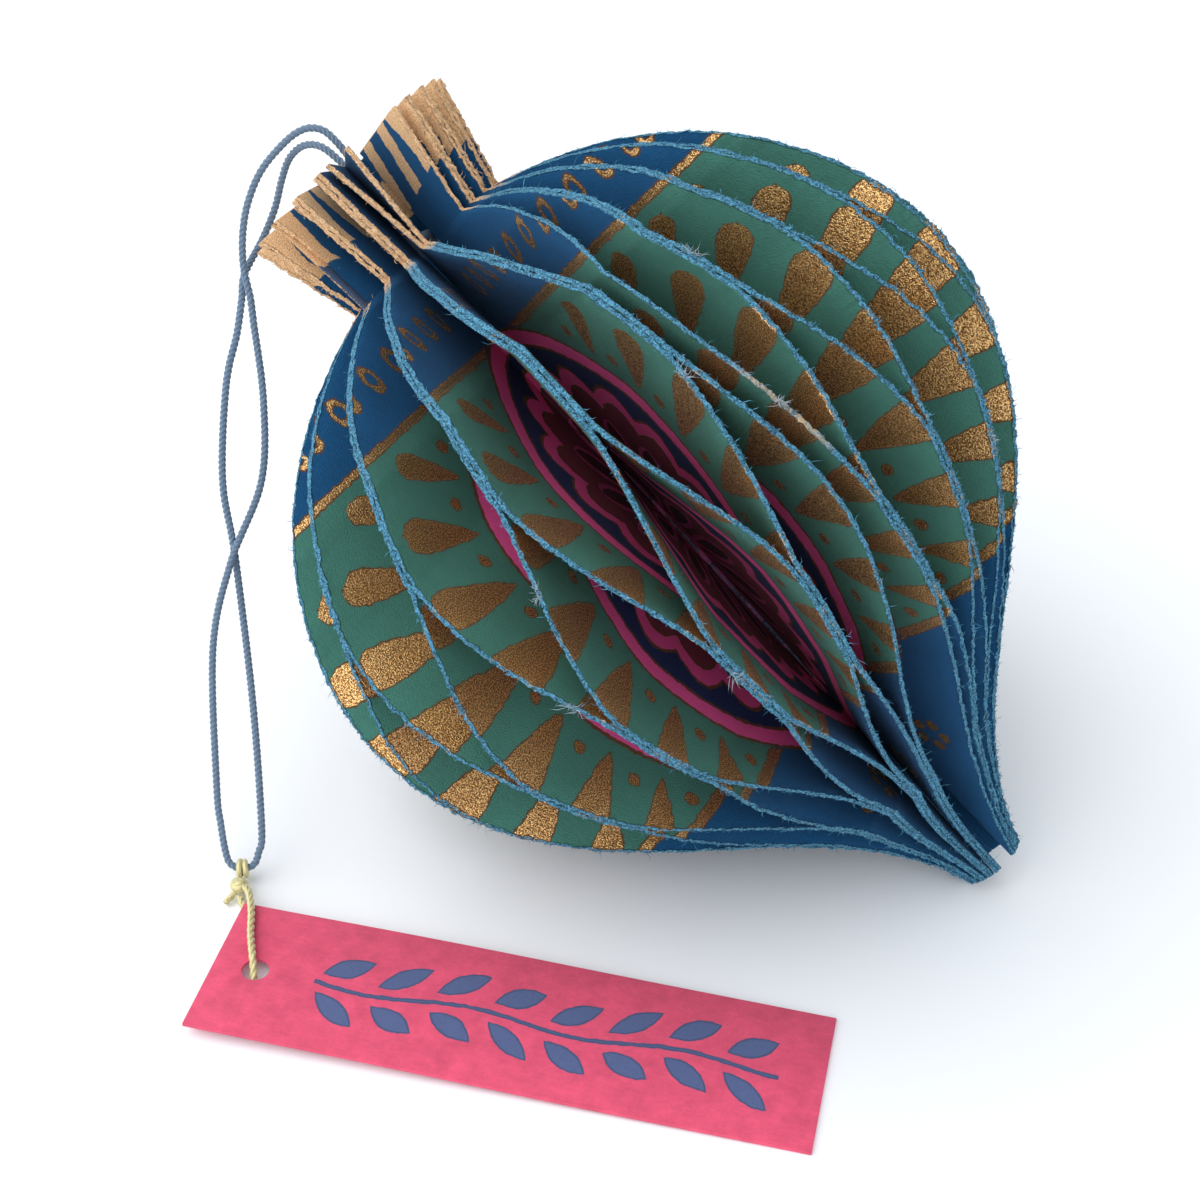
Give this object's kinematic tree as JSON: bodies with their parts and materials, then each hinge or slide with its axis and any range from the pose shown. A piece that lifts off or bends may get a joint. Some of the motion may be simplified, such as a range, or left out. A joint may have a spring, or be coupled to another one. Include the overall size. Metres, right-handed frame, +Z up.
{
  "type": "honeycomb paper bauble",
  "caption": "Lying hanging ornament of cut paper leaves glued in alternate rows round one axis, with a fluted cap, round belly, pointed tip, thin cord loop and card tag.",
  "frame": {"origin": "middle of the underside of the paper body's bounding box, on the table that it lies on", "axes": "+Z up; the bauble's axis lies in the XZ plane, with the cap raised towards -X and the tip on the table towards +X; the seam between the end leaves faces up and towards -Y"},
  "size_m": [0.1072, 0.1182, 0.0923],
  "materials": {
    "printed_paper": "thick cotton rag paper, matte, printed in blue and green with fine metallic gold",
    "blue_cord": "thin twisted cotton cord",
    "gold_thread": "soft metallic thread",
    "crimson_card": "matte card"
  },
  "bodies": {
    "root": {"leaf_01": "printed_paper", "leaf_02": "printed_paper", "leaf_03": "printed_paper", "leaf_04": "printed_paper", "leaf_05": "printed_paper", "leaf_06": "printed_paper", "leaf_07": "printed_paper", "leaf_08": "printed_paper", "leaf_09": "printed_paper", "leaf_10": "printed_paper", "leaf_11": "printed_paper", "leaf_12": "printed_paper", "leaf_13": "printed_paper", "leaf_14": "printed_paper", "leaf_15": "printed_paper", "leaf_16": "printed_paper", "leaf_17": "printed_paper", "leaf_18": "printed_paper", "leaf_19": "printed_paper", "leaf_20": "printed_paper", "leaf_21": "printed_paper", "leaf_22": "printed_paper", "leaf_23": "printed_paper", "leaf_24": "printed_paper", "leaf_25": "printed_paper", "leaf_26": "printed_paper", "leaf_27": "printed_paper", "leaf_28": "printed_paper", "leaf_29": "printed_paper", "leaf_30": "printed_paper", "leaf_31": "printed_paper", "leaf_32": "printed_paper", "leaf_33": "printed_paper", "leaf_34": "printed_paper", "leaf_35": "printed_paper", "leaf_36": "printed_paper", "leaf_37": "printed_paper", "hanging_cord": "blue_cord", "tag_thread": "gold_thread", "tag": "crimson_card"}
  },
  "joints": []
}
